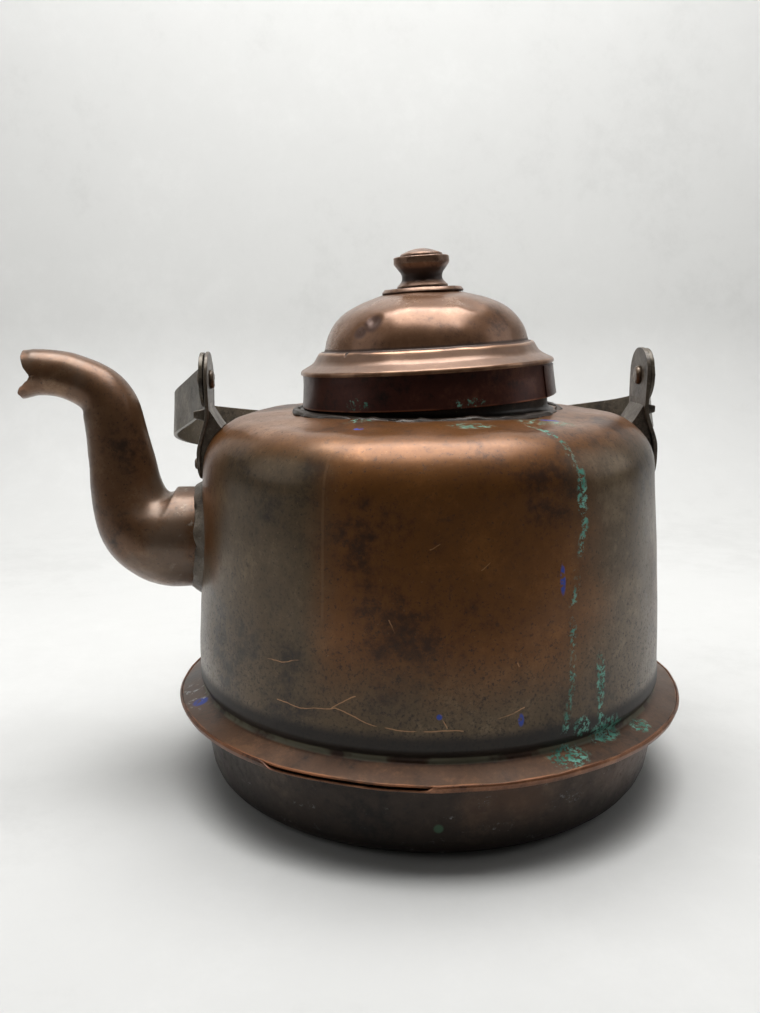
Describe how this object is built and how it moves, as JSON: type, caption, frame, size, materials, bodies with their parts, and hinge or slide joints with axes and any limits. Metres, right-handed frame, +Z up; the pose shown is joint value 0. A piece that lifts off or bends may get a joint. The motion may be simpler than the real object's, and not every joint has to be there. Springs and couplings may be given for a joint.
{
  "type": "stove kettle",
  "caption": "Sheet-copper stove kettle: sunken pan with brim, tapered body, swan-neck spout, swinging strap bail and a loose domed lid with a turned knob.",
  "frame": {"origin": "centre of the flat bottom the kettle stands on", "axes": "+Z up; +X towards the right ear, away from the spout; -Y is the front"},
  "size_m": [0.3674, 0.28, 0.285],
  "materials": {
    "pan_copper": "soot-darkened copper with bluish spots",
    "body_copper": "patinated copper, brown with grey and orange zones",
    "collar_copper": "dark patinated copper",
    "spout_copper": "patinated copper",
    "ear_metal": "grey-brown copper strap",
    "bail_metal": "grey-brown copper strap",
    "rivet_copper": "dark copper",
    "lid_copper": "reddish patinated copper",
    "band_copper": "dark red patinated copper",
    "knob_copper": "turned copper, brown",
    "solder": "dull grey solder"
  },
  "bodies": {
    "kettle": {"bottom_pan": "pan_copper", "body_shell": "body_copper", "neck_collar": "collar_copper", "collar_solder": "solder", "spout": "spout_copper", "spout_solder": "solder", "ear_left": "ear_metal", "ear_right": "ear_metal", "ear_solder_left": "solder", "ear_solder_right": "solder", "ear_rivets": "rivet_copper", "pivot_rivets": "rivet_copper"},
    "bail": {"bail_handle": "bail_metal"},
    "lid": {"lid_dome": "lid_copper", "lid_band": "band_copper", "knob_rosette": "knob_copper", "knob_body": "knob_copper", "knob_cap": "knob_copper", "knob_stem": "rivet_copper", "knob_washer": "rivet_copper"}
  },
  "joints": [
    {"name": "bail_swing", "type": "hinge", "parent": "kettle", "child": "bail", "pos_m": [0, 0, 0.217], "axis": [1, 0, 0], "range_deg": [0, 218]},
    {"name": "lid_lift", "type": "slide", "parent": "kettle", "child": "lid", "axis": [0, 0, 1], "range_m": [0, 0.045]}
  ]
}
